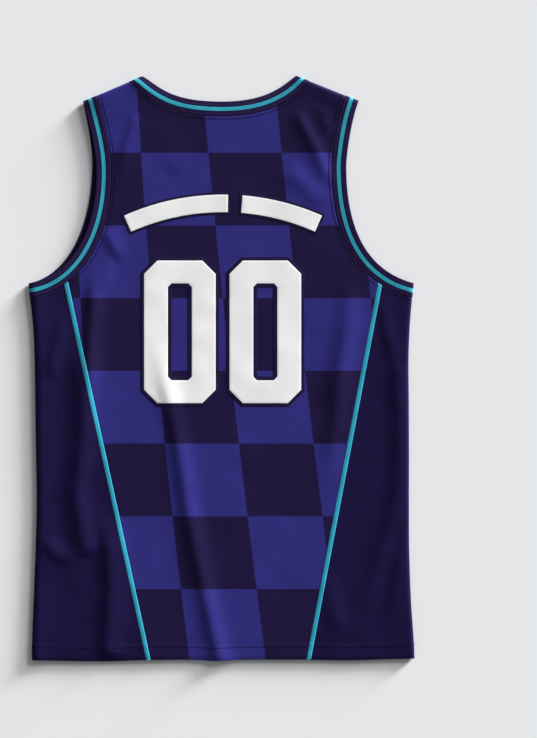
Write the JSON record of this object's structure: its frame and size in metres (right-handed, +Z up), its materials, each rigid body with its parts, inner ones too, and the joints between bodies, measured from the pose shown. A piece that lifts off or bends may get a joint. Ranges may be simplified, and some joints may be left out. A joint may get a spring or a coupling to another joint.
{
  "type": "basketball jersey",
  "caption": "Sleeveless athletic jersey laid flat, back side up, with a checked centre panel, plain side panels, piped seams and ribbed neck and armholes.",
  "frame": {"origin": "on the surface the jersey lies on, under the middle of its width and length", "axes": "+Z up off the surface and out of the back side, +Y from the hem to the neck, +X to the right as seen from above"},
  "size_m": [0.53, 0.8044, 0.0099],
  "materials": {
    "body_cloth": "smooth satin polyester knit, printed in navy and dark navy checks",
    "side_cloth": "smooth satin polyester knit, dark navy",
    "rib_knit": "matt rib knit, dark aubergine with a teal centre stripe",
    "piping_tape": "teal woven tape"
  },
  "bodies": {
    "root": {"back_panel": "body_cloth", "front_panel": "body_cloth", "side_panel_left": "side_cloth", "side_panel_right": "side_cloth", "neck_band": "rib_knit", "armhole_band_left": "rib_knit", "armhole_band_right": "rib_knit", "piping_back_left": "piping_tape", "piping_back_right": "piping_tape", "piping_front_left": "piping_tape", "piping_front_right": "piping_tape"}
  },
  "joints": []
}
